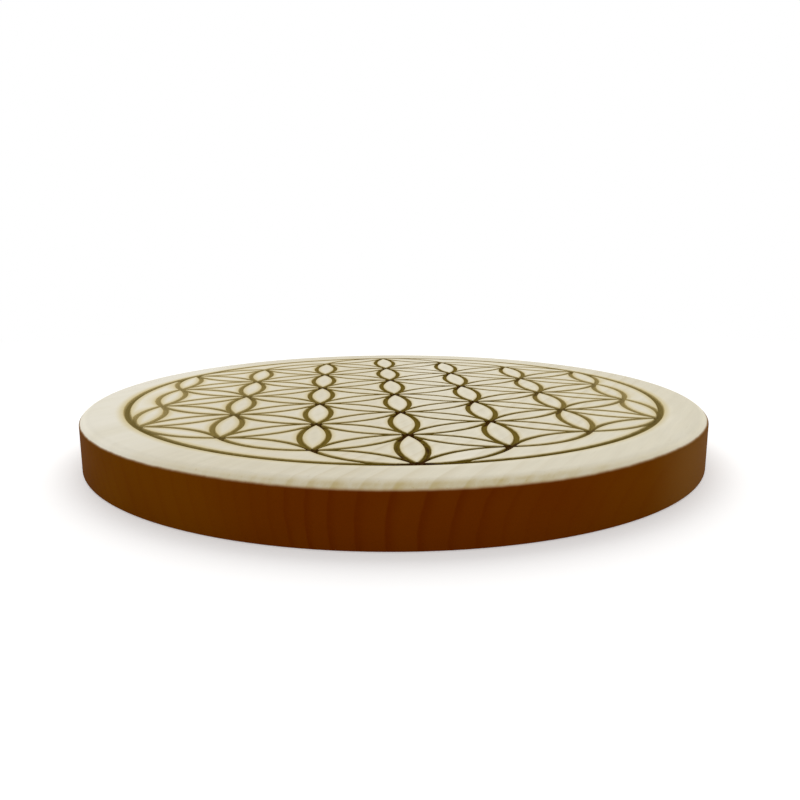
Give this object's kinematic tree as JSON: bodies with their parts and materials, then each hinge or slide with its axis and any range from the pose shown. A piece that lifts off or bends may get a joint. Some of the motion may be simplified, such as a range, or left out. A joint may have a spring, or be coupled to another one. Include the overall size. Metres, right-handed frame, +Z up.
{
  "type": "drink coaster",
  "caption": "Round wooden drink coaster with an engraved pattern of overlapping circles inside a ring, a brown stained edge and a cork pad let into the underside.",
  "frame": {"origin": "centre of the underside, on the surface that the coaster lies on", "axes": "+Z up through the thickness, +X to the right and +Y away from the viewer in the picture"},
  "size_m": [0.1, 0.1, 0.008],
  "materials": {
    "engraved_wood": "pale close-grained wood, sanded, with a brown stained side and burnt engraved lines",
    "adhesive": "thin clear adhesive film",
    "cork": "fine-grained agglomerated cork, matte"
  },
  "bodies": {
    "root": {"wood_disc": "engraved_wood", "adhesive_film": "adhesive", "cork_pad": "cork"}
  },
  "joints": []
}
